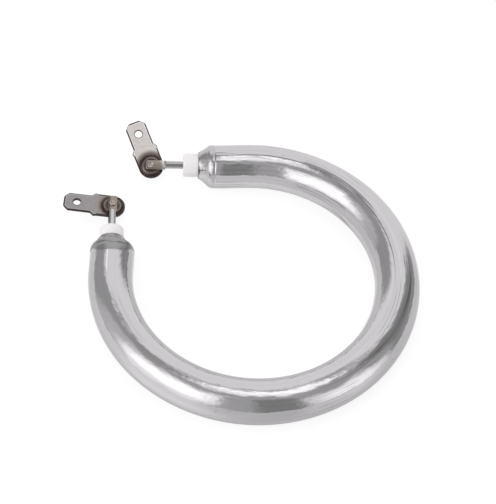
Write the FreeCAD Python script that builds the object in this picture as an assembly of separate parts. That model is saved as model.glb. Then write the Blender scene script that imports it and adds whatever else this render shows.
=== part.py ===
import FreeCAD, Part
import math
import os

# Ring tubular heating element.
# A round metal tube is bent through three quarters of a circle. Each end runs straight for a few
# millimetres and is swaged down onto a ceramic bush. A terminal pin comes out of each bush, is pressed
# flat at its tip and is riveted to a flat plug-in tab. Inside the tube a resistance coil is wound on
# the inner ends of the pins and packed in magnesia, with a poured seal behind each bush.
#
# Frame: millimetres, +Z up. The origin is the centre of the ring on the surface that it lies on.
# The left end leaves the bend at -X and points to +Y, the rear end leaves it at +Y and points to -X.

# Tube and bend, which starts at the left end and runs anticlockwise to the rear end
ring_radius = 41.5
bend_start = 180.0
bend_angle = 270.0
tube_diameter = 13.0
tube_wall = 0.7

# Swaged end, measured outwards from the fine line rolled into the tube where the swage starts
line_depth = 0.12
line_width = 0.35
shoulder_length = 2.4
shoulder_drop = 0.55
shoulder_crown = 0.14
swage_length = 5.2
cone_sag = 0.1
neck_wall = 0.6
grip_length = 0.9
lip_round = 0.25

# Ceramic bush
bush_diameter = 7.0
bush_inside = 5.5
bush_edge_round = 0.35

# Terminal pin and its flattened tip
pin_diameter = 2.4
flat_thickness = 1.0
flat_width = 2.8
flat_length = 6.1
flat_run_in = 0.5
flat_corner_round = 0.6
flat_edge_round = 0.2

# Plug-in tab
tab_thickness = 0.8
blade_width = 6.3
blade_length = 8.3
tip_chamfer = 1.6
tip_bevel = 0.3
side_bevel = 0.22
detent_diameter = 2.3
detent_from_tip = 3.95
base_width = 7.5
base_length = 6.2
shoulder_ear = 0.2
ear_run = 0.85
ear_slope = 0.9
seat_diameter = 6.4
seat_rise = 0.35
seat_slope = 0.7

# Rivet
rivet_shank_diameter = 1.2
rivet_head_diameter = 2.0
rivet_head_height = 0.35
rivet_rim_round = 0.15
rivet_dimple_diameter = 1.1
rivet_dimple_depth = 0.2

# Inside the tube: the seal, then bare pin, then the end of the pin with the coil wound on it
seal_inside = 7.5
bare_pin = 1.0
winding_length = 3.5
wire_thickness = 0.8
coil_pitch = 4.5
coil_steps = 8

# Clearances, on the radius
bush_gap = 0.03
pin_gap = 0.05
winding_gap = 0.05
tunnel_gap = 0.05

# The two ends differ a little, as the finished heater does. Each has its straight length from the
# bend to the swage line, the length of bush that stands out, the free pin from the bush to the rivet,
# how far the flat reaches past the rivet, the turn of the tab about the rivet and the roll of the
# whole terminal about its pin.
ends = {
    "left": {"leaves": "start", "straight": 7.7, "bush_out": 4.0, "pin_free": 9.9, "flat_past": 2.9,
             "tab_turn": 85.0, "roll": -3.0},
    "rear": {"leaves": "finish", "straight": 11.0, "bush_out": 4.5, "pin_free": 9.6, "flat_past": 1.6,
             "tab_turn": -68.0, "roll": 24.0},
}

tube_radius = tube_diameter / 2
bore_radius = tube_radius - tube_wall
bush_radius = bush_diameter / 2
pin_radius = pin_diameter / 2
neck_bore_radius = bush_radius + bush_gap
neck_radius = neck_bore_radius + neck_wall
coil_inner_radius = (pin_radius + winding_gap) / math.cos(math.pi / coil_steps)
tunnel_radius = coil_inner_radius + wire_thickness + tunnel_gap
winding_inside = seal_inside + bare_pin
pin_inside = winding_inside + winding_length
bend_length = math.radians(bend_angle) * ring_radius

# Slack for picking edges by where they lie
near = 0.01

UP = FreeCAD.Vector(0, 0, 1)
ALONG = FreeCAD.Vector(1, 0, 0)
ring_centre = FreeCAD.Vector(0, 0, tube_radius)


def profile_face(steps):
    """Face bounded by a chain of points; a step of two points is an arc through the first of them."""
    edges = []
    here = steps[0][-1]
    for step in steps[1:] + steps[:1]:
        target = FreeCAD.Vector(step[-1][0], 0, step[-1][1])
        start = FreeCAD.Vector(here[0], 0, here[1])
        if len(step) == 2:
            middle = FreeCAD.Vector(step[0][0], 0, step[0][1])
            edges.append(Part.Arc(start, middle, target).toShape())
        else:
            edges.append(Part.makeLine(start, target))
        here = step[-1]
    return Part.Face(Part.Wire(edges))


def turned(steps, axis=ALONG):
    """Solid turned from a profile of (along, out) points about the end's axis."""
    return profile_face(steps).revolve(FreeCAD.Vector(), axis, 360)


def end_place(end):
    """Where an end's own frame sits: origin at the bend, +X outwards along the tube."""
    if end["leaves"] == "start":
        angle = bend_start
        points = angle - 90
    else:
        angle = bend_start + bend_angle
        points = angle + 90
    outward = FreeCAD.Rotation(UP, angle).multVec(ALONG)
    return FreeCAD.Placement(ring_centre + outward * ring_radius, FreeCAD.Rotation(UP, points))


def terminal_place(end):
    """The terminal's frame: origin where the rivet crosses the pin, rolled about the pin."""
    along = neck_at(end) + end["bush_out"] + end["pin_free"]
    roll = FreeCAD.Rotation(ALONG, -end["roll"])
    return end_place(end).multiply(FreeCAD.Placement(ALONG * along, roll))


def placed(shape, place):
    """Copy of a shape, moved with any place of its own into a frame."""
    copy = shape.copy()
    copy.Placement = place.multiply(shape.Placement)
    return copy


def neck_at(end):
    return end["straight"] + swage_length


def swage_outside(straight):
    """Outer form of one tube end: straight run, rolled line, shoulder, hollow cone and lip."""
    groove = straight + line_width
    shoulder = straight + shoulder_length
    shoulder_radius = tube_radius - shoulder_drop
    neck = straight + swage_length
    cone_middle = (shoulder + neck - lip_round) / 2
    cone_radius = (shoulder_radius + neck_radius) / 2 - cone_sag
    lip_corner = lip_round * (1 - math.sqrt(0.5))
    return turned([
        [(0, 0)],
        [(0, tube_radius)],
        [(straight, tube_radius)],
        [(straight + line_width / 2, tube_radius - line_depth)],
        [(groove, tube_radius)],
        [((groove + shoulder) / 2, tube_radius - shoulder_crown), (shoulder, shoulder_radius)],
        [(cone_middle, cone_radius), (neck - lip_round, neck_radius)],
        [(neck - lip_corner, neck_radius - lip_corner), (neck, neck_radius - lip_round)],
        [(neck, 0)],
    ])


def swage_inside(straight):
    """Room inside one tube end, down to the bore that grips the bush."""
    shoulder = straight + shoulder_length
    neck = straight + swage_length
    cone = math.atan2(tube_radius - shoulder_drop - neck_radius, swage_length - shoulder_length)
    corner = shoulder - tube_wall * math.sin(cone)
    corner_radius = tube_radius - shoulder_drop - tube_wall * math.cos(cone)
    return turned([
        [(0, 0)],
        [(0, bore_radius)],
        [(straight, bore_radius)],
        [((straight + corner) / 2, bore_radius - shoulder_crown), (corner, corner_radius)],
        [(neck - grip_length, neck_bore_radius)],
        [(neck, neck_bore_radius)],
        [(neck, 0)],
    ])


def bent_bar(radius):
    """Round bar of a given radius that follows the bend."""
    bar = Part.makeTorus(ring_radius, radius, FreeCAD.Vector(), UP, -180, 180, bend_angle)
    bar.Placement = FreeCAD.Placement(ring_centre, FreeCAD.Rotation(UP, bend_start))
    return bar


def tube_form(radius, end_form):
    """The bend with an end form fused on at both tangent points."""
    tips = [placed(end_form(end["straight"]), end_place(end)) for end in ends.values()]
    return bent_bar(radius).fuse(tips).removeSplitter()


def sheath_tube(room):
    return tube_form(tube_radius, swage_outside).cut(room)


def ceramic_bush(end):
    """Plain fired bead with a pin hole and a rounded outer edge."""
    neck = neck_at(end)
    length = bush_inside + end["bush_out"]
    start = ALONG * (neck - bush_inside)
    bead = Part.makeCylinder(bush_radius, length, start, ALONG)
    outer_edge = max(bead.Edges, key=lambda edge: edge.BoundBox.XMin)
    bead = bead.makeFillet(bush_edge_round, [outer_edge])
    hole = Part.makeCylinder(pin_radius + pin_gap, length, start, ALONG)
    return placed(bead.cut(hole), end_place(end))


def pin_body(end):
    """Round part of a pin in its terminal's frame, with the run-in to the flat."""
    inner_end = end["pin_free"] + end["bush_out"] + pin_inside
    pressed_from = end["flat_past"] - flat_length
    body = Part.makeCylinder(pin_radius, inner_end + pressed_from, -ALONG * inner_end, ALONG)
    round_section = Part.Wire(Part.makeCircle(pin_radius, ALONG * pressed_from, ALONG))
    flat_centre = FreeCAD.Vector(pressed_from + flat_run_in, 0, flat_thickness / 2 - pin_radius)
    side = flat_centre + FreeCAD.Vector(0, flat_width / 2, 0)
    top = flat_centre + UP * (flat_thickness / 2)
    flat_section = Part.Wire(Part.Ellipse(side, top, flat_centre).toShape())
    return body.fuse(Part.makeLoft([round_section, flat_section], True))


def terminal_pin(end):
    """Round pin whose tip is pressed into a flat tongue with a hole for the rivet."""
    tip_end = end["flat_past"]
    length = flat_length - flat_run_in
    root = FreeCAD.Vector(tip_end - length, -flat_width / 2, -pin_radius)
    tongue = Part.makeBox(length, flat_width, flat_thickness, root)
    corners = [edge for edge in tongue.Edges
               if edge.BoundBox.XMin > tip_end - near and edge.BoundBox.ZLength > near]
    tongue = tongue.makeFillet(flat_corner_round, corners)
    tongue_top = flat_thickness - pin_radius
    rims = [edge for edge in tongue.Edges
            if edge.BoundBox.ZMin > tongue_top - near and edge.BoundBox.XMax > root.x + near]
    tongue = tongue.makeFillet(flat_edge_round, rims)
    hole = Part.makeCylinder(rivet_shank_diameter / 2, flat_thickness, -UP * pin_radius, UP)
    return placed(pin_body(end).fuse(tongue).cut(hole), terminal_place(end))


def tab_outline():
    """Outline of the tab about the rivet centre, blade towards +X."""
    shoulder = base_length
    tip = base_length + blade_length
    half_base = base_width / 2
    half_blade = blade_width / 2
    corner = shoulder - ear_slope
    side = [
        (corner - ear_run, half_base),
        (corner, half_base + shoulder_ear),
        (shoulder, half_blade),
        (tip - tip_chamfer, half_blade),
        (tip, half_blade - tip_chamfer),
    ]
    points = [FreeCAD.Vector(x, y, 0) for x, y in [(0, half_base)] + side]
    points += [FreeCAD.Vector(p.x, -p.y, 0) for p in reversed(points)]
    edges = [Part.makeLine(a, b) for a, b in zip(points, points[1:])]
    edges.append(Part.Arc(points[-1], FreeCAD.Vector(-half_base, 0, 0), points[0]).toShape())
    return Part.Face(Part.Wire(edges))


def bevelled(plate):
    """Lead-in bevels round the blade, stronger across the tip."""
    tip = base_length + blade_length
    flat = [edge for edge in plate.Edges if edge.BoundBox.ZLength < near]
    tip_edges = [edge for edge in flat if edge.BoundBox.XMin > tip - near]
    plate = plate.makeChamfer(tip_bevel, tip_edges)
    side_edges = []
    for edge in plate.Edges:
        box = edge.BoundBox
        runs_along = box.YLength < near and box.ZLength < near
        if runs_along and box.XMin > base_length - near and abs(box.YMin) > blade_width / 2 - near:
            side_edges.append(edge)
    return plate.makeChamfer(side_bevel, side_edges)


def tab_terminal(end):
    """Stamped tab: round base with a raised rivet seat, shoulders and a plug-in blade with its detent."""
    seat_top = -pin_radius
    base_top = seat_top - seat_rise
    base_z = base_top - tab_thickness
    plate = bevelled(tab_outline().extrude(UP * tab_thickness))
    plate.translate(UP * base_z)
    seat_radius = seat_diameter / 2
    flat_radius = seat_radius - seat_slope
    plate = plate.cut(Part.makeCylinder(seat_radius, tab_thickness, UP * base_z, UP))
    seat = turned([
        [(0, seat_top - tab_thickness)],
        [(flat_radius, seat_top - tab_thickness)],
        [(seat_radius, base_z)],
        [(seat_radius, base_top)],
        [(flat_radius, seat_top)],
        [(0, seat_top)],
    ], UP)
    detent_at = FreeCAD.Vector(base_length + blade_length - detent_from_tip, 0, base_z)
    detent = Part.makeCylinder(detent_diameter / 2, tab_thickness, detent_at, UP)
    shank = Part.makeCylinder(rivet_shank_diameter / 2, tab_thickness, UP * (seat_top - tab_thickness), UP)
    tab = plate.fuse(seat).cut([detent, shank])
    tab.rotate(FreeCAD.Vector(), UP, end["tab_turn"])
    return placed(tab, terminal_place(end))


def tab_rivet(end):
    """Rivet through the tongue and the seat, with a dimpled head above and an upset head below."""
    shank = rivet_shank_diameter / 2
    head = rivet_head_diameter / 2
    dimple = rivet_dimple_diameter / 2
    dimple_floor_radius = (dimple ** 2 + rivet_dimple_depth ** 2) / (2 * rivet_dimple_depth)
    foot = -pin_radius - tab_thickness
    foot_end = foot - rivet_head_height
    shoulder = flat_thickness - pin_radius
    crown = shoulder + rivet_head_height
    rim = rivet_rim_round
    rim_corner = rim * (1 - math.sqrt(0.5))
    floor = crown - rivet_dimple_depth
    halfway = floor + dimple_floor_radius - math.sqrt(dimple_floor_radius ** 2 - dimple ** 2 / 4)
    rivet = turned([
        [(0, foot_end)],
        [(head - rim, foot_end)],
        [(head - rim_corner, foot_end + rim_corner), (head, foot_end + rim)],
        [(head, foot)],
        [(shank, foot)],
        [(shank, shoulder)],
        [(head, shoulder)],
        [(head, crown - rim)],
        [(head - rim_corner, crown - rim_corner), (head - rim, crown)],
        [(dimple, crown)],
        [(dimple / 2, halfway), (0, floor)],
    ], UP)
    return placed(rivet, terminal_place(end))


def end_seal(end, room):
    """Poured seal that fills the tube round and behind the bush."""
    neck = neck_at(end)
    plug = Part.makeCylinder(tube_radius, seal_inside, ALONG * (neck - seal_inside), ALONG)
    bush = Part.makeCylinder(neck_bore_radius, bush_inside, ALONG * (neck - bush_inside), ALONG)
    pin = Part.makeCylinder(pin_radius, seal_inside, ALONG * (neck - seal_inside), ALONG)
    return room.common(placed(plug.cut([bush, pin]), end_place(end)))


def magnesia_filling(room):
    """Packed powder between the two seals, with the channel that the coil and the pin ends lie in."""
    cuts = [bent_bar(tunnel_radius)]
    for end in ends.values():
        seal_start = neck_at(end) - seal_inside
        winding_start = neck_at(end) - winding_inside
        beyond = Part.makeCylinder(tube_radius, seal_inside, ALONG * seal_start, ALONG)
        tunnel = Part.makeCylinder(tunnel_radius, winding_start, FreeCAD.Vector(), ALONG)
        pin = Part.makeCylinder(pin_radius, seal_start, FreeCAD.Vector(), ALONG)
        cuts += [placed(part, end_place(end)) for part in (beyond, tunnel, pin)]
    return room.cut(cuts)


def on_centreline(distance):
    """Point, tangent and outward normal at a distance along the tube from the left end of the bend."""
    angle = math.radians(bend_start) + min(max(distance, 0), bend_length) / ring_radius
    outward = FreeCAD.Vector(math.cos(angle), math.sin(angle), 0)
    tangent = FreeCAD.Vector(-math.sin(angle), math.cos(angle), 0)
    beyond = min(distance, 0) + max(distance - bend_length, 0)
    return ring_centre + outward * ring_radius + tangent * beyond, tangent, outward


def heating_coil():
    """Resistance wire wound in an even helix along the bend and onto the inner end of each pin."""
    first, last = [neck_at(end) - winding_inside for end in ends.values()]
    length = first + bend_length + last - 2 * wire_thickness
    count = round(length / coil_pitch) * coil_steps
    half = wire_thickness / 2
    middle = coil_inner_radius + half
    corners = [(-half, -half), (half, -half), (half, half), (-half, half)]
    points = []
    for step in range(count + 1):
        centre, tangent, outward = on_centreline(wire_thickness - first + length * step / count)
        angle = 2 * math.pi * step / coil_steps
        radial = outward * math.cos(angle) + UP * math.sin(angle)
        points += [centre + radial * (middle + out) + tangent * along for out, along in corners]
    facets = [(0, 1, 2), (0, 2, 3)]
    for step in range(count):
        for corner in range(4):
            a = step * 4 + corner
            b = step * 4 + (corner + 1) % 4
            facets += [(a, a + 4, b + 4), (a, b + 4, b)]
    end_ring = count * 4
    facets += [(end_ring, end_ring + 2, end_ring + 1), (end_ring, end_ring + 3, end_ring + 2)]
    shape = Part.Shape()
    shape.makeShapeFromMesh((points, facets), near)
    return Part.makeSolid(shape.Shells[0])


def build():
    room = tube_form(bore_radius, swage_inside)
    parts = {
        "sheath_tube": sheath_tube(room),
        "magnesia_filling": magnesia_filling(room),
        "heating_coil": heating_coil(),
    }
    for side, end in ends.items():
        parts["ceramic_bush_" + side] = ceramic_bush(end)
        parts["end_seal_" + side] = end_seal(end, room)
        parts["terminal_pin_" + side] = terminal_pin(end)
        parts["tab_terminal_" + side] = tab_terminal(end)
        parts["tab_rivet_" + side] = tab_rivet(end)
    return parts


os.makedirs("parts", exist_ok=True)
for name, shape in build().items():
    shape.exportStep("parts/" + name + ".step")
    box = shape.BoundBox
    print(f"{name:22s} solids {len(shape.Solids)} valid {shape.isValid()} volume {shape.Volume:9.2f}"
          f"  x {box.XMin:7.2f} {box.XMax:7.2f}  y {box.YMin:7.2f} {box.YMax:7.2f}"
          f"  z {box.ZMin:6.2f} {box.ZMax:6.2f}")
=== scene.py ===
import math
import bmesh
import bpy
from mathutils import Matrix, Vector


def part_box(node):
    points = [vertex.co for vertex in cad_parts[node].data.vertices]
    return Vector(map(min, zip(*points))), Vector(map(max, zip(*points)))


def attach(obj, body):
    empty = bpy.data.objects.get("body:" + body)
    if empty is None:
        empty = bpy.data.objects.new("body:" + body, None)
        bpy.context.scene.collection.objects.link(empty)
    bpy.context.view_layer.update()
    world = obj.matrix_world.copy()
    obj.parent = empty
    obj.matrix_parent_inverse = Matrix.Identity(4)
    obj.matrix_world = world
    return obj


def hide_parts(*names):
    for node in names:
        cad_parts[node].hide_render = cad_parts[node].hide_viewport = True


# A tubular heating element: a bright steel tube bent into an open ring, with a ceramic bush, a pin and
# a riveted plug-in tab at each end. Sizes are in millimetres until a mesh is finished, and its object
# is then in metres, in the frame of the solids.

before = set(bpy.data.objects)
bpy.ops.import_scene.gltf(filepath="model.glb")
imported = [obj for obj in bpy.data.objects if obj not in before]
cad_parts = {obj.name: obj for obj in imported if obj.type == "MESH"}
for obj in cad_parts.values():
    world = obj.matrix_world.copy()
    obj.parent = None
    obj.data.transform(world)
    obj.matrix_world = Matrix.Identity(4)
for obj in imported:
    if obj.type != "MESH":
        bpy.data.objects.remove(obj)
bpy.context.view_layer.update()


# Sheath tube
# A thin stainless tube, drawn, filled, rolled down and bent on a former, so fine lines run along it.
# Each end is swaged onto its bush: a rolled line, a rounded shoulder, a hollow cone and a plain lip.

MM = 0.001
low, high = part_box("sheath_tube")
tube_radius = (high.z - low.z) / 2 / MM
ring_radius = high.x / MM - tube_radius
tube_wall = 0.7
neck_radius = 4.13
neck_bore = 3.53
neck_length = 0.9
swage_length = 5.2
shoulder_length = 2.2
shoulder_drop = 0.5
lip_round = 0.2
lip_chamfer = 0.05
straight_left = 7.7
straight_rear = 11.0
bend_start = math.radians(180)
bend_angle = math.radians(270)
end_lean = {"left": 0.3, "rear": 0.45}
facets_round = 96
facets_along = 180
touching = 0.002
crease = math.radians(35)

UP = Vector((0, 0, 1))
ring_centre = Vector((0, 0, tube_radius))
bend_length = ring_radius * bend_angle

# Outside of a swaged end: distance past the rolled line, and how far the radius has come down there
swage_outside = [
    (-0.06, 0.0), (0.05, 0.02), (0.13, 0.085), (0.20, 0.10), (0.29, 0.05), (0.38, 0.0),
    (0.70, 0.005), (1.10, 0.03), (1.50, 0.10), (1.85, 0.20), (2.15, 0.34), (2.40, 0.52), (2.60, 0.73),
    (3.00, 1.10), (3.45, 1.45), (3.90, 1.78), (4.30, 2.05), (4.65, 2.26), (4.92, 2.36), (5.06, 2.40),
    (5.15, 2.47),
]


def linear(colour):
    """Linear red, green, blue and alpha of an sRGB hex colour."""
    parts = [int(colour[i:i + 2], 16) / 255 for i in (0, 2, 4)]
    return [c / 12.92 if c <= 0.04045 else ((c + 0.055) / 1.055) ** 2.4 for c in parts] + [1.0]


def add(tree, kind, inputs=(), **settings):
    """Adds a node with its settings, and fills or links its inputs."""
    new = tree.nodes.new(kind)
    for name, value in settings.items():
        setattr(new, name, value)
    for socket, value in dict(inputs).items():
        if isinstance(value, bpy.types.NodeSocket):
            tree.links.new(value, new.inputs[socket])
        else:
            new.inputs[socket].default_value = value
    return new


def material_of(name, roughness, metallic, colour):
    """A material with its surface shader ready, and its node tree."""
    material = bpy.data.materials.new(name)
    material.use_nodes = True
    tree = material.node_tree
    surface = tree.nodes["Principled BSDF"]
    surface.inputs["Base Color"].default_value = linear(colour)
    surface.inputs["Metallic"].default_value = metallic
    surface.inputs["Roughness"].default_value = roughness
    return material, tree, surface


def piece_of(name, bm, material):
    """Makes an object of a mesh drawn in millimetres, smooth but for its sharp edges."""
    bmesh.ops.scale(bm, vec=Vector((MM, MM, MM)), verts=bm.verts)
    for face in bm.faces:
        face.smooth = True
    for edge in bm.edges:
        if len(edge.link_faces) == 2 and edge.calc_face_angle(0) > crease:
            edge.smooth = False
    mesh = bpy.data.meshes.new(name)
    bm.to_mesh(mesh)
    bm.free()
    mesh.materials.append(material)
    piece = bpy.data.objects.new(name, mesh)
    bpy.context.scene.collection.objects.link(piece)
    return piece


def end_point(side, along):
    """A point on the tube's axis, so far out from where the bend ends."""
    if side == "left":
        return ring_centre + Vector((-ring_radius, along, 0))
    return ring_centre + Vector((-along, ring_radius, 0))


def run_ring(bm, ring, side, steps, here):
    """Carries a ring of edges along a straight end, through steps of distance and radius."""
    along, radius = here
    for next_along, next_radius in steps:
        grown = bmesh.ops.extrude_edge_only(bm, edges=ring)["geom"]
        ring = [item for item in grown if isinstance(item, bmesh.types.BMEdge)]
        points = [item for item in grown if isinstance(item, bmesh.types.BMVert)]
        bmesh.ops.translate(bm, verts=points, vec=end_point(side, next_along) - end_point(side, along))
        share = next_radius / radius
        about = Matrix.Translation(-end_point(side, next_along))
        bmesh.ops.scale(bm, vec=Vector((share, share, share)), verts=points, space=about)
        along, radius = next_along, next_radius
    return ring


def end_steps(straight, inwards_to):
    """Distances and radii from the bend over the swaged end and back along the bore."""
    outside = [(straight * share, tube_radius) for share in (0.25, 0.5, 0.75)]
    outside += [(straight + past, tube_radius - down) for past, down in swage_outside]
    neck = straight + swage_length
    outside.append((neck, neck_radius - lip_round))
    inside = [(neck, neck_bore + lip_chamfer), (neck - lip_chamfer, neck_bore)]
    inside += [(neck - neck_length, neck_bore), (straight + shoulder_length, inwards_to - shoulder_drop)]
    return outside + inside + [(straight, inwards_to), (0, inwards_to)]


def sheath_mesh():
    """The tube: its left end, its outside swung round the bend, its rear end, and its bore swung back."""
    bm = bmesh.new()
    start = end_point("left", 0)
    facing = Matrix.Translation(start) @ Matrix.Rotation(math.radians(90), 4, "X")
    bmesh.ops.create_circle(bm, segments=facets_round, radius=tube_radius, matrix=facing)
    first = list(bm.edges)
    bore = tube_radius - tube_wall
    run_ring(bm, first, "left", end_steps(straight_left, bore), (0, tube_radius))
    swung = bmesh.ops.spin(bm, geom=first, cent=ring_centre, axis=UP, angle=bend_angle,
                           steps=facets_along, use_duplicate=False)["geom_last"]
    last = [item for item in swung if isinstance(item, bmesh.types.BMEdge)]
    inner = run_ring(bm, last, "rear", end_steps(straight_rear, bore), (0, tube_radius))
    bmesh.ops.spin(bm, geom=inner, cent=ring_centre, axis=UP, angle=-bend_angle,
                   steps=facets_along // 3, use_duplicate=False)
    bmesh.ops.remove_doubles(bm, verts=bm.verts, dist=touching)
    bmesh.ops.recalc_face_normals(bm, faces=bm.faces)
    return bm


def lean_ends(bm):
    """Leans each end a little towards the middle of the ring at its rolled line, as the bending left it."""
    for vert in bm.verts:
        x, y, _ = vert.co
        if x < 0 < y:
            left = -x > y
            along, straight = (y, straight_left) if left else (-x, straight_rear)
            share = max(0, min(along / straight, (straight + swage_length - along) / swage_length))
            inwards = Vector((end_lean["left"], 0, 0)) if left else Vector((0, -end_lean["rear"], 0))
            vert.co += inwards * share * share * (3 - 2 * share)


def unbend(bm):
    """Notes each point's place on the tube as it was before bending: along, outwards and up."""
    unbent = bm.verts.layers.float_vector.new("unbent")
    for vert in bm.verts:
        x, y, z = vert.co - ring_centre
        if x < 0 and y > 0 and -x > y:
            vert[unbent] = (-y, -x - ring_radius, z)
        elif x < 0 and y > 0:
            vert[unbent] = (bend_length - x, y - ring_radius, z)
        else:
            turn = (math.atan2(y, x) - bend_start) % (2 * math.pi)
            vert[unbent] = (turn * ring_radius, math.hypot(x, y) - ring_radius, z)


# Length of the features along and across the tube in mm, and detail. Real draw lines are some
# 0.05 mm apart; they are drawn 0.6 mm apart here so that they show
steel_patterns = {
    "draw lines": (26, 0.6, 3.0),
    "waves of the former": (14, 4.5, 1.0),
    "ripples of rolling": (3.0, 1.3, 2.0),
    "score tracks": (90, 1.7, 2.0),
    "score stretches": (25, 5, 1.0),
    "specks": (0.7, 0.35, 1.0),
    "speckled places": (9, 4, 2.0),
    # Patches where the painted shade at the lips is deeper
    "patches of lip shade": (6, 2.5, 1.0),
}

steel_colour = "BDBBBD"
# Heights in thousandths of a millimetre
wave_height = 260.0
ripple_height = 70.0
line_height = 15.0
score_depth = 6.0
# Where the draw lines and the long score set in and are full, in mm along the bend from its left end
lined_from = 60.0
lined_fully = 125.0
scored_from = 120.0
scored_fully = 140.0
# How far the long score lies inside of the tube's crown, at first and at last, and the painted highlight
# line outside of it
score_inside = (1.24, 0.70)
highlight_outside = 1.12
# How much more of the tube's top the jaws took in at the left end
jaws_reach = 2.6


def drawn_steel():
    """Drawn and bright polished stainless steel: a near-mirror, slightly wavy, with fine lines along it."""
    material, tree, surface = material_of("drawn_bright_stainless_steel", 0.1, 1.0, steel_colour)
    surface.inputs["Specular Tint"].default_value = linear("EDECED")
    place = add(tree, "ShaderNodeAttribute", attribute_name="unbent").outputs["Vector"]
    axes = add(tree, "ShaderNodeSeparateXYZ", {0: place}).outputs
    along = axes["X"]
    pattern = {}
    for name, (length, width, detail) in steel_patterns.items():
        shrink = (1 / length, 1 / width, 1 / width)
        spread = add(tree, "ShaderNodeMapping", {"Vector": place, "Scale": shrink}).outputs[0]
        pattern[name] = add(tree, "ShaderNodeTexNoise", {"Vector": spread, "Scale": 1.0,
                                                         "Detail": detail}).outputs["Fac"]

    # A smooth step takes its value from the range in sockets 1 and 2 to the range in sockets 3 and 4,
    # and a mask that is linked to one of these two fades with it
    step = "ShaderNodeMapRange"
    smooth = {"interpolation_type": "SMOOTHSTEP"}
    on_top = add(tree, step, {0: axes["Z"]}, **smooth).outputs[0]

    # Distance in from the nearer lip, less what the jaws took in beyond the swaged stretch
    middle = (bend_length + straight_rear - straight_left) / 2
    inwards = add(tree, "ShaderNodeMath", {0: along, 1: middle}, operation="SUBTRACT").outputs[0]
    inwards = add(tree, "ShaderNodeMath", {0: inwards}, operation="ABSOLUTE").outputs[0]
    inwards = add(tree, "ShaderNodeMath", {0: middle + straight_left + swage_length, 1: inwards},
                  operation="SUBTRACT").outputs[0]
    reach = add(tree, step, {0: axes["Z"], 1: 2.5, 2: 6.4, 3: 0.0, 4: jaws_reach}, **smooth).outputs[0]
    reach = add(tree, step, {0: along, 1: -1.0, 2: 0.0, 3: reach, 4: 0.0}, **smooth).outputs[0]
    reached = add(tree, "ShaderNodeMath", {0: inwards, 1: reach}, operation="SUBTRACT").outputs[0]
    rolled_line = {0: reached, 1: swage_length - 0.5, 2: swage_length + 0.1}
    worked = add(tree, step, rolled_line | {3: 1.0, 4: 0.0}, **smooth).outputs[0]
    dulled = add(tree, step, {0: along, 1: -1.0, 2: 0.0, 3: worked, 4: 0.0}, **smooth).outputs[0]

    # The draw lines are faint on the first half of the bend, which was rubbed on the former
    lined = {0: along, 1: lined_from, 2: lined_fully, 3: 0.35, 4: 1.0}
    lined = add(tree, step, lined, **smooth).outputs[0]
    # One long score, 0.3 mm wide, runs along the top of the rear half, a little inside of its crown
    drift = {0: along, 1: 140.0, 2: 190.0, 3: score_inside[0], 4: score_inside[1]}
    drift = add(tree, step, drift, **smooth).outputs[0]
    beside = add(tree, "ShaderNodeMath", {0: axes["Y"], 1: drift}, operation="ADD").outputs[0]
    beside = add(tree, "ShaderNodeMath", {0: beside}, operation="ABSOLUTE").outputs[0]
    long_score = {0: along, 1: scored_from, 2: scored_fully, 3: 0.0, 4: on_top}
    long_score = add(tree, step, long_score, **smooth).outputs[0]
    long_score = add(tree, step, {0: beside, 1: 0.07, 2: 0.21, 3: long_score, 4: 0.0}, **smooth).outputs[0]

    # Height: waves left by the former, small ripples of the thin wall, the draw lines and the long score
    waves = pattern["waves of the former"]
    ripples = pattern["ripples of rolling"]
    lines = pattern["draw lines"]
    lines = add(tree, "ShaderNodeMath", {0: lines, 1: lined}, operation="MULTIPLY").outputs[0]
    height = 0.0
    for form, rise in ((waves, wave_height), (ripples, ripple_height), (lines, line_height),
                       (long_score, -score_depth)):
        height = add(tree, "ShaderNodeMath", {0: form, 1: rise, 2: height},
                     operation="MULTIPLY_ADD").outputs[0]
    bump = add(tree, "ShaderNodeBump", {"Height": height, "Distance": 0.001 * MM, "Strength": 1.0})
    tree.links.new(bump.outputs[0], surface.inputs["Normal"])

    # Die scores: thin dark lines that wander slowly round the tube and fade in and out
    score = pattern["score stretches"]
    score = add(tree, step, {0: score, 1: 0.45, 2: 0.57, 4: lined}, **smooth).outputs[0]
    off = add(tree, "ShaderNodeMath", {0: pattern["score tracks"], 1: 0.5}, operation="SUBTRACT").outputs[0]
    off = add(tree, "ShaderNodeMath", {0: off}, operation="ABSOLUTE").outputs[0]
    score = add(tree, step, {0: off, 1: 0.008, 2: 0.032, 3: score, 4: 0.0}, **smooth).outputs[0]
    # Specks and short scuffs, in a few places only
    speck = add(tree, step, {0: pattern["speckled places"], 1: 0.5, 2: 0.62}, **smooth).outputs[0]
    speck = add(tree, step, {0: pattern["specks"], 1: 0.68, 2: 0.76, 4: speck}, **smooth).outputs[0]
    marks = 0.0
    for mark, strength in ((score, 0.5), (speck, 0.5), (long_score, 0.55)):
        mark = add(tree, "ShaderNodeMath", {0: mark, 1: strength}, operation="MULTIPLY").outputs[0]
        marks = add(tree, "ShaderNodeMath", {0: mark, 1: marks}, operation="MAXIMUM").outputs[0]
    # The swaging wiped them away
    marks = add(tree, step, rolled_line | {3: 0.0, 4: marks}, **smooth).outputs[0]
    # Painted shade at the edge of each lip, where it meets the bush, deeper in patches
    lip_shade = pattern["patches of lip shade"]
    lip_shade = add(tree, step, {0: lip_shade, 1: 0.40, 2: 0.56, 3: 0.3, 4: 1.0}, **smooth).outputs[0]
    lip_shade = add(tree, step, {0: inwards, 1: 0.1, 2: 0.75, 3: lip_shade, 4: 0.0}, **smooth).outputs[0]
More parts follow.
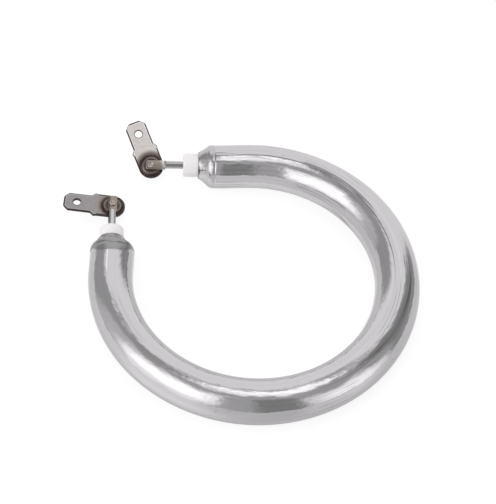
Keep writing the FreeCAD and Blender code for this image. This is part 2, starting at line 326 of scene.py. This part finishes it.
    # A painted highlight: a bright line, 0.35 mm wide, along the top of the tube before the left end
    beside = add(tree, "ShaderNodeMath", {0: axes["Y"], 1: highlight_outside}, operation="SUBTRACT").outputs[0]
    beside = add(tree, "ShaderNodeMath", {0: beside}, operation="ABSOLUTE").outputs[0]
    highlight_line = add(tree, step, rolled_line | {3: 0.0, 4: on_top}, **smooth).outputs[0]
    highlight_line = add(tree, step, {0: along, 1: 0.0, 2: 4.0, 3: highlight_line, 4: 0.0}, **smooth).outputs[0]
    highlight_line = add(tree, step, {0: beside, 1: 0.1, 2: 0.24, 3: highlight_line, 4: 0.0}, **smooth).outputs[0]

    # Each of these takes the steel to so much of its tone, the painted lip shade and the painted highlight
    # line among them, and the draw lines shade it a little
    shade = pattern["draw lines"]
    shade = add(tree, step, {0: shade, 1: 0.3, 2: 0.7, 3: -0.06, 4: 0.05}, **smooth).outputs[0]
    tone = add(tree, "ShaderNodeMath", {0: shade, 1: lined, 2: 1.0}, operation="MULTIPLY_ADD").outputs[0]
    for mark, tone_there in ((lip_shade, 0.22), (marks, 0.0), (worked, 0.88), (dulled, 0.66), (highlight_line, 1.4)):
        share = add(tree, step, {0: mark, 3: 1.0, 4: tone_there}, **smooth).outputs[0]
        tone = add(tree, "ShaderNodeMath", {0: tone, 1: share}, operation="MULTIPLY").outputs[0]
    colour = add(tree, "ShaderNodeMix", {0: 1.0, 6: linear(steel_colour), 7: tone}, data_type="RGBA",
                 blend_type="MULTIPLY")
    tree.links.new(colour.outputs[2], surface.inputs["Base Color"])

    # The swaged stretch is rougher than the tube, most of all at the left end
    rough = pattern["draw lines"]
    rough = add(tree, step, {0: rough, 1: 0.3, 2: 0.7, 3: 0.07, 4: 0.14}, **smooth).outputs[0]
    for mark, rise in ((worked, 0.04), (dulled, 0.14)):
        rough = add(tree, "ShaderNodeMath", {0: mark, 1: rise, 2: rough},
                    operation="MULTIPLY_ADD").outputs[0]
    tree.links.new(rough, surface.inputs["Roughness"])
    return material


shell = sheath_mesh()
unbend(shell)
lean_ends(shell)
sheath = piece_of("sheath", shell, drawn_steel())
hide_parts("sheath_tube")
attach(sheath, "root")


# Magnesia filling
# White magnesium oxide powder, poured round the coil and packed hard as the tube is rolled down.
# It keeps the coil in the middle of the tube and is closed in on all sides.

def packed_powder():
    """Packed magnesia: dead white and matt, with a fine grain."""
    material, tree, surface = material_of("packed_magnesia", 0.95, 0.0, "EDEBE4")
    place = add(tree, "ShaderNodeTexCoord")
    # Grains of 0.2 mm
    grain = add(tree, "ShaderNodeTexNoise", {"Vector": place.outputs["Object"], "Scale": 1 / (0.2 * MM)})
    tone = add(tree, "ShaderNodeMapRange", {"Value": grain.outputs["Fac"], "To Min": 0.82, "To Max": 1.0})
    colour = add(tree, "ShaderNodeMix", {"Factor": 1.0, 6: linear("EDEBE4"), 7: tone.outputs[0]},
                 data_type="RGBA", blend_type="MULTIPLY")
    tree.links.new(colour.outputs[2], surface.inputs["Base Color"])
    return material


def paint_node(node, material):
    """Gives a solid that stays its finish."""
    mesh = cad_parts[node].data
    mesh.materials.clear()
    mesh.materials.append(material)


paint_node("magnesia_filling", packed_powder())


# Resistance coil
# A helix of nickel chromium wire, wound onto the inner ends of the pins and stretched to its pitch.
# It is hidden in the powder and has the dull grey skin that its first firing leaves.

def oxidised_wire():
    """Fired nickel chromium wire: dull dark grey metal with a patchy oxide."""
    material, tree, surface = material_of("oxidised_resistance_wire", 0.5, 0.8, "6E6A66")
    place = add(tree, "ShaderNodeTexCoord")
    # Patches of oxide about 1.5 mm across
    patch = add(tree, "ShaderNodeTexNoise", {"Vector": place.outputs["Object"], "Scale": 1 / (1.5 * MM)})
    colour = add(tree, "ShaderNodeMix", {"Factor": patch.outputs["Fac"], 6: linear("5A5651"),
                                         7: linear("86827C")}, data_type="RGBA")
    tree.links.new(colour.outputs[2], surface.inputs["Base Color"])
    return material


paint_node("heating_coil", oxidised_wire())


# End seals
# Silicone poured in behind and round each bush, which keeps damp out of the powder.
# It is hidden in the swaged end.

def poured_silicone():
    """Cured silicone: off-white, with a soft sheen and small bubbles."""
    material, tree, surface = material_of("poured_silicone", 0.45, 0.0, "D8D3C8")
    place = add(tree, "ShaderNodeTexCoord")
    # Bubbles some 0.8 mm apart
    bubble = add(tree, "ShaderNodeTexVoronoi", {"Vector": place.outputs["Object"], "Scale": 1 / (0.8 * MM)})
    bump = add(tree, "ShaderNodeBump", {"Height": bubble.outputs["Distance"], "Distance": 0.05 * MM})
    tree.links.new(bump.outputs[0], surface.inputs["Normal"])
    return material


silicone = poured_silicone()
for side in ("left", "rear"):
    paint_node("end_seal_" + side, silicone)


# Ceramic bushes
# Pressed and fired steatite beads, plain white, with a rounded outer edge and a hole for the pin.
# The swaged neck grips each one.

bush_radius = 3.5
bush_hole = 1.25
bush_length_inside = 5.5
bush_length_out = {"left": 4.0, "rear": 4.5}
bush_facets = 64
bush_chamfer = 0.1

# Outside of a bush at its outer face: distance back from the face, and how far the radius has come down
bush_edge = [(3.0, 0.0), (0.40, 0.0), (0.22, 0.05), (0.09, 0.16), (0.02, 0.30), (0.0, 0.42)]
# The mouth of its hole: distance back from the face, and how much wider than the hole
bush_mouth = [(0.0, 0.15), (0.12, 0.0)]


def bush_mesh(side):
    """A bush: the rim of its hole is carried from the back over the outside and back through the hole."""
    neck = (straight_left if side == "left" else straight_rear) + swage_length
    face = neck + bush_length_out[side]
    back = neck - bush_length_inside
    bm = bmesh.new()
    turn = Matrix.Rotation(math.radians(90), 4, "X" if side == "left" else "Y")
    facing = Matrix.Translation(end_point(side, back)) @ turn
    bmesh.ops.create_circle(bm, segments=bush_facets, radius=bush_hole, matrix=facing)
    steps = [(back, bush_radius - bush_chamfer), (back + bush_chamfer, bush_radius)]
    steps += [(face - past, bush_radius - down) for past, down in bush_edge]
    steps += [(face - past, bush_hole + wider) for past, wider in bush_mouth]
    steps.append((back, bush_hole))
    run_ring(bm, list(bm.edges), side, steps, (back, bush_hole))
    bmesh.ops.remove_doubles(bm, verts=bm.verts, dist=touching)
    bmesh.ops.recalc_face_normals(bm, faces=bm.faces)
    return bm


def fired_steatite():
    """Unglazed steatite: white, faintly warm, matt with a slight sheen and a fine fired grain."""
    material, tree, surface = material_of("fired_steatite", 0.55, 0.0, "F2EFF0")
    surface.inputs["Subsurface Weight"].default_value = 0.15
    surface.inputs["Subsurface Radius"].default_value = (0.4 * MM, 0.4 * MM, 0.35 * MM)
    place = add(tree, "ShaderNodeTexCoord")
    # Grain of 0.3 mm and faint kiln shading over 3 mm
    grain = add(tree, "ShaderNodeTexNoise", {"Vector": place.outputs["Object"], "Scale": 1 / (0.3 * MM)})
    bump = add(tree, "ShaderNodeBump", {"Height": grain.outputs["Fac"], "Distance": 0.01 * MM,
                                        "Strength": 0.6})
    tree.links.new(bump.outputs[0], surface.inputs["Normal"])
    shade = add(tree, "ShaderNodeTexNoise", {"Vector": place.outputs["Object"], "Scale": 1 / (3 * MM)})
    colour = add(tree, "ShaderNodeMix", {"Factor": shade.outputs["Fac"], 6: linear("ECE9E9"),
                                         7: linear("F6F4F5")}, data_type="RGBA")
    tree.links.new(colour.outputs[2], surface.inputs["Base Color"])
    return material


steatite = fired_steatite()
for side in bush_length_out:
    bush = piece_of("bush_" + side, bush_mesh(side), steatite)
    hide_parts("ceramic_bush_" + side)
    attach(bush, "root")


# Terminal pins
# Drawn and nickel plated steel pins, pressed flat at the tip, with a hole there for the rivet.
# The meshes are the solids' own, merged so that they shade smoothly.

def merged(node):
    """A copy of a solid's mesh with its loose triangles joined, in millimetres."""
    bm = bmesh.new()
    bm.from_mesh(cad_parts[node].data)
    bmesh.ops.scale(bm, vec=Vector((1 / MM, 1 / MM, 1 / MM)), verts=bm.verts)
    bmesh.ops.remove_doubles(bm, verts=bm.verts, dist=touching / 4)
    return bm


def burnt_and_shaded_rings(tree, place, side, steps, waver_by):
    """A colour that changes with the distance in mm from a rivet, in rings as burning leaves them; on the
    tabs the rings also paint shade, dark reflection and a highlight.
    """
    low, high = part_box("tab_rivet_" + side)
    reach = add(tree, "ShaderNodeVectorMath", {0: place, 1: (low + high) / 2}, operation="DISTANCE")
    # The rings waver over 2 mm
    waver = add(tree, "ShaderNodeTexNoise", {"Vector": place, "Scale": 1 / (2.0 * MM), "Detail": 3.0})
    waver = add(tree, "ShaderNodeMath", {0: waver.outputs["Fac"], 1: 2 * waver_by, 2: -waver_by},
                operation="MULTIPLY_ADD")
    reach = add(tree, "ShaderNodeMath", {0: reach.outputs["Value"], 1: 1 / MM, 2: waver.outputs[0]},
                operation="MULTIPLY_ADD")
    furthest = steps[-1][0]
    share = add(tree, "ShaderNodeMapRange", {"Value": reach.outputs[0], "From Max": furthest})
    rings = add(tree, "ShaderNodeValToRGB", {0: share.outputs[0]})
    bands = rings.color_ramp
    bands.elements[0].color = linear(steps[0][1])
    bands.elements[1].color = linear(steps[-1][1])
    for radius, tone in steps[1:-1]:
        bands.elements.new(radius / furthest).color = linear(tone)
    return rings.outputs[0]


def nickel_plate(name, side, colour, burnt):
    """Bright nickel plate: a cool grey shine with light scuffs, burnt to beige and brown near the rivet."""
    material, tree, surface = material_of(name + "_" + side, 0.13, 1.0, colour)
    place = add(tree, "ShaderNodeTexCoord").outputs["Object"]
    # Scuffs about 1 mm long
    scuff = add(tree, "ShaderNodeTexNoise", {"Vector": place, "Scale": 1 / (1.0 * MM), "Detail": 4.0})
    bump = add(tree, "ShaderNodeBump", {"Height": scuff.outputs["Fac"], "Distance": 0.03 * MM,
                                        "Strength": 1.0})
    tree.links.new(bump.outputs[0], surface.inputs["Normal"])
    rings = burnt_and_shaded_rings(tree, place, side, [(0, burnt), (1.2, burnt), (2.6, "8F8379"), (4.0, colour)], 1.3)
    tree.links.new(rings, surface.inputs["Base Color"])
    return material


# The side of each pin that is painted in shade: its direction, how far out from the axis in mm the painted
# shade starts and is full, and how much of the tone it keeps
shaded_side = {"left": ((-1, 0, 0), 0.4, 0.8, 0.4), "rear": ((0, -0.735, 0.677), 1.08, 1.18, 0.62)}


def shade_one_side(material, side):
    """Paints shade along one side of a pin: a darker streak that stands for its shaded side and the dark it
    mirrors.
    """
    facing, starts, full, tone = shaded_side[side]
    tree = material.node_tree
    surface = tree.nodes["Principled BSDF"]
    place = add(tree, "ShaderNodeTexCoord").outputs["Object"]
    low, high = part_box("terminal_pin_" + side)
    middle = (low + high) / 2
    off = add(tree, "ShaderNodeVectorMath", {0: place, 1: middle}, operation="SUBTRACT").outputs[0]
    off = add(tree, "ShaderNodeVectorMath", {0: off, 1: facing}, operation="DOT_PRODUCT").outputs["Value"]
    side_shade = add(tree, "ShaderNodeMapRange", {0: off, 1: starts * MM, 2: full * MM, 3: 1.0, 4: tone},
                 interpolation_type="SMOOTHSTEP")
    colour = surface.inputs["Base Color"].links[0].from_socket
    side_shaded = add(tree, "ShaderNodeMix", {0: 1.0, 6: colour, 7: side_shade.outputs[0]}, data_type="RGBA",
                   blend_type="MULTIPLY")
    tree.links.new(side_shaded.outputs[2], surface.inputs["Base Color"])


for side in bush_length_out:
    pin_plate = nickel_plate("nickel_plated_pin_steel", side, "BDBABB", "8A817B")
    # Painted shade along one side of the pin
    shade_one_side(pin_plate, side)
    pin = piece_of("pin_" + side, merged("terminal_pin_" + side), pin_plate)
    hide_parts("terminal_pin_" + side)
    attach(pin, "root")


# Plug-in tabs
# Stamped from nickel plated strip, with a round base, a raised seat for the rivet, shoulders and a
# chamfered blade with a detent hole. The heat of fixing has browned the plate round the rivet, and the
# dark reflection and shade on the base and a light ring at the seat's rim are painted in with that brown.

base_round = 3.75
seat_rim = 2.5
# Of the face, and of the painted highlight line at the edge where it is darker and lighter. The two tabs
# are the same strip; the left one is painted darker, as painted shade and dark reflection
strip_colours_lit_and_shaded = {
    "left": ("928F91", "949194", "B4B1B3"),
    "rear": ("D2CDCC", "DAD6D5", "F4F2F3"),
}


def stamped_strip(side, colour):
    """Satin nickel strip: soft grey with a faint mottle, burnt brown in rings round the rivet, with painted
    shade and dark reflection on the base and a painted highlight ring at the seat's rim.
    """
    material, tree, surface = material_of("nickel_strip_painted_light_" + side, 0.26, 1.0, colour)
    place = add(tree, "ShaderNodeTexCoord").outputs["Object"]
    # Rings round the rivet: burnt brown, painted shade and dark reflection over the base, and a painted
    # highlight ring at the seat's rim
    rings = burnt_and_shaded_rings(tree, place, side, [
        (0, "443D3B"), (seat_rim - 0.7, "4C4442"), (seat_rim - 0.3, "5E5652"), (seat_rim, "857C76"),
        (seat_rim + 0.2, "463F3D"), (base_round - 0.5, "403836"), (base_round - 0.1, "6B625D"),
        (base_round + 0.5, "8D8680"), (base_round + 1.3, colour),
    ], 0.12)
    # Mottling about 1 mm across: a breath of brown
    mottle = add(tree, "ShaderNodeTexNoise", {"Vector": place, "Scale": 1 / (1.0 * MM), "Detail": 2.0})
    mottle = add(tree, "ShaderNodeMapRange", {0: mottle.outputs["Fac"], 1: 0.4, 2: 0.6})
    warm = add(tree, "ShaderNodeMix", {0: mottle.outputs[0], 6: linear("FFFFFF"), 7: linear("F8F5F2")},
               data_type="RGBA")
    tint = add(tree, "ShaderNodeMix", {0: 1.0, 6: rings, 7: warm.outputs[2]}, data_type="RGBA",
               blend_type="MULTIPLY")
    tree.links.new(tint.outputs[2], surface.inputs["Base Color"])
    bump = add(tree, "ShaderNodeBump", {"Height": mottle.outputs[0], "Distance": 0.004 * MM,
                                        "Strength": 1.0})
    tree.links.new(bump.outputs[0], surface.inputs["Normal"])
    return material


def sheared_edge():
    """The cut edge of the strip: bare, dark and rough, a little uneven where the shear tore it."""
    material, tree, surface = material_of("sheared_strip_edge", 0.5, 1.0, "3A3533")
    place = add(tree, "ShaderNodeTexCoord")
    # Real tears are finer than 0.1 mm; they are drawn 0.3 mm across so that they show
    tear = add(tree, "ShaderNodeTexNoise", {"Vector": place.outputs["Object"], "Scale": 1 / (0.3 * MM)})
    tone = add(tree, "ShaderNodeMix", {0: tear.outputs["Fac"], 6: linear("2B2726"), 7: linear("544D4A")},
               data_type="RGBA")
    tree.links.new(tone.outputs[2], surface.inputs["Base Color"])
    return material


def edge_highlight(side, darker, lighter):
    """The die roll just inside the cut, left flat and painted pale as the highlight its rounding would
    catch: clean and smooth.
    """
    material, tree, surface = material_of("painted_edge_highlight_" + side, 0.12, 1.0, lighter)
    place = add(tree, "ShaderNodeTexCoord")
    # Rub marks 0.5 mm across
    rub = add(tree, "ShaderNodeTexNoise", {"Vector": place.outputs["Object"], "Scale": 1 / (0.5 * MM)})
    tone = add(tree, "ShaderNodeMix", {0: rub.outputs["Fac"], 6: linear(darker), 7: linear(lighter)},
               data_type="RGBA")
    tree.links.new(tone.outputs[2], surface.inputs["Base Color"])
    return material


# Widths of the cut edge and of the painted highlight line inside it, in mm
cut_width = 0.18
highlight_width = 0.2
# A face this far off the strip's own face, by the cosine of the angle, is part of an edge
slope_limit = 0.8
# The edges stop at the seat's foot and run clear of the detent hole; the highlight line starts past the
# base, and on the base it is painted dark, as painted shade
seat_foot = 3.45
detent_clearance = 2
detent_reach = 13
dark_rim = 4.6


def edge_strips(strip, rivet_centre):
    """Marks the cut edge and the painted highlight line inside it, but not at the seat or the detent; on
    the base the line is painted dark, as painted shade.
    """
    face_normal = max(strip.faces, key=lambda face: face.calc_area()).normal.copy()
    for face in strip.faces:
        if abs(face.normal.dot(face_normal)) < slope_limit:
            face.material_index = 1
    flat = [face for face in strip.faces if abs(face.normal.dot(face_normal)) > 0.999]
    area = sum(face.calc_area() for face in flat)
    middle = sum((face.calc_center_median() * face.calc_area() for face in flat), Vector()) / area
    along = (middle - rivet_centre).normalized()
    sideways = along.cross(face_normal)
    for width, index in ((cut_width, 1), (highlight_width, 2)):
        border = bmesh.ops.inset_region(strip, faces=flat, thickness=width, use_even_offset=True)["faces"]
        for face in border:
            offset = face.calc_center_median() - rivet_centre
            reach = offset.dot(along)
            by_detent = index == 2 and abs(offset.dot(sideways)) < detent_clearance and reach < detent_reach
            if offset.length >= seat_foot and not by_detent:
                # On the base the highlight line is painted dark, as painted shade
                face.material_index = 1 if reach < dark_rim else index


cut_metal = sheared_edge()
for side, (colour, darker, lighter) in strip_colours_lit_and_shaded.items():
    strip = merged("tab_terminal_" + side)
    low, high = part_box("tab_rivet_" + side)
    edge_strips(strip, (low + high) / 2 / MM)
    tab = piece_of("tab_" + side, strip, stamped_strip(side, colour))
    tab.data.materials.append(cut_metal)
    tab.data.materials.append(edge_highlight(side, darker, lighter))
    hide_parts("tab_terminal_" + side)
    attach(tab, "root")


# Rivets
# Soft steel rivets with the same nickel plate. Each goes through the tab's seat and the flat tongue of
# the pin, and is closed over the tongue with a small dimpled head.

for side in bush_length_out:
    rivet_plate = nickel_plate("nickel_plated_rivet_steel", side, "A39B94", "A39B94")
    rivet = piece_of("rivet_" + side, merged("tab_rivet_" + side), rivet_plate)
    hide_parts("tab_rivet_" + side)
    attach(rivet, "root")


# Table
# A plain white table of matt laminate, large enough to fill the view. It shows as pure white and keeps
# the soft shadow of the ring.

def stage_object(name, bm, material):
    """Makes an object of the studio, not of the part, of a mesh drawn in metres."""
    mesh = bpy.data.meshes.new(name)
    bm.to_mesh(mesh)
    bm.free()
    mesh.materials.append(material)
    thing = bpy.data.objects.new(name, mesh)
    bpy.context.scene.collection.objects.link(thing)
    return thing


def white_table():
    """White laminate: pure white to the camera but for the ring's shadow, softly shining in the steel."""
    material, tree, surface = material_of("white_table", 0.9, 0.0, "E6E6E6")
    surface.inputs["Specular IOR Level"].default_value = 0.0
    path = add(tree, "ShaderNodeLightPath")
    seen = path.outputs["Is Camera Ray"]
    seen = add(tree, "ShaderNodeMath", {0: seen, 1: path.outputs["Is Transmission Ray"]},
               operation="MAXIMUM").outputs[0]
    # What the camera sees is a weak share of the lit surface, with its shadow, over an even white
    dim = add(tree, "ShaderNodeBsdfDiffuse", {"Color": linear("909090")})
    white = add(tree, "ShaderNodeEmission", {"Color": linear("FFFFFF"), "Strength": 0.8})
    shown = add(tree, "ShaderNodeAddShader", {0: dim.outputs[0], 1: white.outputs[0]})
    # What the steel mirrors has the sheen of the tent on it as well
    sheen = add(tree, "ShaderNodeBsdfGlossy", {"Color": linear("A6A6A6"), "Roughness": 0.4})
    # A painted pool of light, seen in the steel: the table glows a little brighter inside the ring than in
    # front of it
    across = add(tree, "ShaderNodeTexCoord").outputs["Object"]
    across = add(tree, "ShaderNodeSeparateXYZ", {0: across}).outputs["Y"]
    painted_pool = add(tree, "ShaderNodeMapRange", {0: across, 1: -50 * MM, 2: 5 * MM, 3: 0.42, 4: 0.60},
               interpolation_type="SMOOTHSTEP")
    under = add(tree, "ShaderNodeEmission", {"Color": linear("FFFFFF"), "Strength": painted_pool.outputs[0]})
    soft = add(tree, "ShaderNodeBsdfDiffuse", {"Color": linear("808080")})
    sheen = add(tree, "ShaderNodeAddShader", {0: sheen.outputs[0], 1: under.outputs[0]})
    sheen = add(tree, "ShaderNodeAddShader", {0: sheen.outputs[0], 1: soft.outputs[0]})
    mirrored = add(tree, "ShaderNodeMixShader", {0: path.outputs["Is Glossy Ray"], 1: surface.outputs[0],
                                                 2: sheen.outputs[0]})
    mix = add(tree, "ShaderNodeMixShader", {0: seen, 1: mirrored.outputs[0], 2: shown.outputs[0]})
    tree.links.new(mix.outputs[0], tree.nodes["Material Output"].inputs["Surface"])
    return material


# In metres, with its top a hair under the ring
table_size = 6.0
table_top = -0.05 * MM
board = bmesh.new()
bmesh.ops.create_grid(board, x_segments=1, y_segments=1, size=table_size / 2,
                      matrix=Matrix.Translation((0, 0, table_top)))
stage_object("table", board, white_table())


# Fill card
# A low collar of white card that stands inside the ring, rolled and closed on top. The steel alone sees
# it, and it fills the shade on the inner side of the ring.

collar_radius = 28
collar_height = 10


def white_card():
    """Plain white card that glows a little below full white."""
    material = bpy.data.materials.new("white_card")
    material.use_nodes = True
    tree = material.node_tree
    glow = add(tree, "ShaderNodeEmission", {"Color": linear("FAFAFA"), "Strength": 1.0})
    tree.links.new(glow.outputs[0], tree.nodes["Material Output"].inputs["Surface"])
    return material


roll = bmesh.new()
standing = Matrix.Translation((0, 0, collar_height * MM / 2))
bmesh.ops.create_cone(roll, cap_ends=True, segments=64, radius1=collar_radius * MM,
                      radius2=collar_radius * MM, depth=collar_height * MM, matrix=standing)
collar = stage_object("collar", roll, white_card())
collar.visible_camera = False
collar.visible_diffuse = False
collar.visible_shadow = False
collar.visible_transmission = False


# Light tent
# A large tent of white cloth, painted with bright and dark panels, which lights the table and which the
# steel mirrors. The camera looks in through it.

# Each panel: compass direction and height of its middle, half width and half height, softness of its
# edge, all in degrees, and brightness, where 1 is white
bare_cloth = 0.78
tent_panels = [
    ("overhead", 0, 90, 360, 15, 5, 1.45),
    ("overhead, right", 45, 81, 60, 9, 5, 1.8),
    ("top light", 44, 75, 52, 5, 3, 2.0),
    ("back panel", 86, 27, 41, 35, 6, 1.19),
    ("slit over the back panel", 70, 63, 36, 1.2, 1.0, 0.70),
    ("gap under overhead, left", 141, 67, 37, 8, 5, 0.50),
    ("gap under overhead, front", 235, 75, 75, 7, 5, 0.60),
    ("gap over the front light", 325, 57, 30, 11, 6, 0.58),
    ("right gap", 18, 31, 24, 32, 5, 0.37),
    ("right gap, low", 18, 5, 22, 12, 8, 0.46),
    ("left gap", 145, 33, 16, 30, 5, 0.52),
    ("key light", 217, 36, 31, 24, 13, 2.10),
    ("low left panel", 217, 0, 25, 14, 8, 1.45),
    ("beside the key", 261, 33, 10, 36, 5, 0.61),
    ("front gap", 286, 31, 15, 34, 5, 0.36),
    ("front light", 327, 13, 20, 25, 13, 1.68),
    ("right front gap", 353, 42, 10, 20, 6, 0.58),
]


def painted_tent():
    """Translucent cloth, lit from outside: an even pale grey with the panels laid over it in turn."""
    material = bpy.data.materials.new("painted_tent")
    material.use_nodes = True
    tree = material.node_tree
    place = add(tree, "ShaderNodeTexCoord")
    outward = add(tree, "ShaderNodeVectorMath", {0: place.outputs["Object"]}, operation="NORMALIZE")
    axes = add(tree, "ShaderNodeSeparateXYZ", {0: outward.outputs[0]}).outputs
    turn = add(tree, "ShaderNodeMath", {0: axes["Y"], 1: axes["X"]}, operation="ARCTAN2").outputs[0]
    turn = add(tree, "ShaderNodeMath", {0: turn}, operation="DEGREES").outputs[0]
    rise = add(tree, "ShaderNodeMath", {0: axes["Z"]}, operation="ARCSINE").outputs[0]
    rise = add(tree, "ShaderNodeMath", {0: rise}, operation="DEGREES").outputs[0]
    light = bare_cloth
    for name, compass, height, half_width, half_height, soft, brightness in tent_panels:
        # A mask that fades at the panel's sides, carried on by one that fades at its top and bottom
        mask = 1.0
        for angle, middle, half in ((turn, compass, half_width), (rise, height, half_height)):
            off = add(tree, "ShaderNodeMath", {0: angle, 1: middle}, operation="SUBTRACT").outputs[0]
            off = add(tree, "ShaderNodeMath", {0: off, 1: 180.0, 2: -180.0}, operation="WRAP").outputs[0]
            off = add(tree, "ShaderNodeMath", {0: off}, operation="ABSOLUTE").outputs[0]
            fade = {0: off, 1: half - soft, 2: half + soft, 3: mask, 4: 0.0}
            mask = add(tree, "ShaderNodeMapRange", fade, interpolation_type="SMOOTHSTEP",
                       label=name).outputs[0]
        light = add(tree, "ShaderNodeMix", {0: mask, 2: light, 3: brightness},
                    data_type="FLOAT").outputs[0]
    glow = add(tree, "ShaderNodeEmission", {"Strength": light})
    tree.links.new(glow.outputs[0], tree.nodes["Material Output"].inputs["Surface"])
    return material


# In metres; the cloth hangs to a little under the table
tent_radius = 2.5
tent_foot = -0.2
cloth = bmesh.new()
bmesh.ops.create_uvsphere(cloth, u_segments=48, v_segments=24, radius=tent_radius)
bmesh.ops.bisect_plane(cloth, geom=list(cloth.verts) + list(cloth.edges) + list(cloth.faces),
                       plane_co=(0, 0, tent_foot), plane_no=UP, clear_inner=True)
bmesh.ops.reverse_faces(cloth, faces=cloth.faces)
tent = stage_object("tent", cloth, painted_tent())
tent.visible_camera = False

# The room round the tent
world = bpy.data.worlds.new("white_room")
world.use_nodes = True
world.node_tree.nodes["Background"].inputs["Color"].default_value = linear("FFFFFF")
world.node_tree.nodes["Background"].inputs["Strength"].default_value = 1.0
bpy.context.scene.world = world


# Camera
# A short telephoto lens some 0.6 m off, which looks down on the ring from in front. Its place and
# length were fitted to the outline of the ring.

camera_place = Vector((-31.374, -336.291, 485.571)) * MM
camera_target = Vector((-1.669, 9.657, 6.5)) * MM
camera_roll = math.radians(4.917)
film_height = 24.0
focal_pixels = 2026.92
picture_height = 504

lens = bpy.data.cameras.new("camera")
lens.sensor_fit = "VERTICAL"
lens.sensor_height = film_height
lens.lens = focal_pixels / picture_height * film_height
lens.clip_start = 0.01
camera = bpy.data.objects.new("camera", lens)
aim = (camera_target - camera_place).to_track_quat("-Z", "Y").to_matrix().to_4x4()
camera.matrix_world = Matrix.Translation(camera_place) @ aim @ Matrix.Rotation(camera_roll, 4, "Z")
bpy.context.scene.collection.objects.link(camera)
bpy.context.scene.camera = camera
bpy.context.scene.view_settings.view_transform = "Standard"
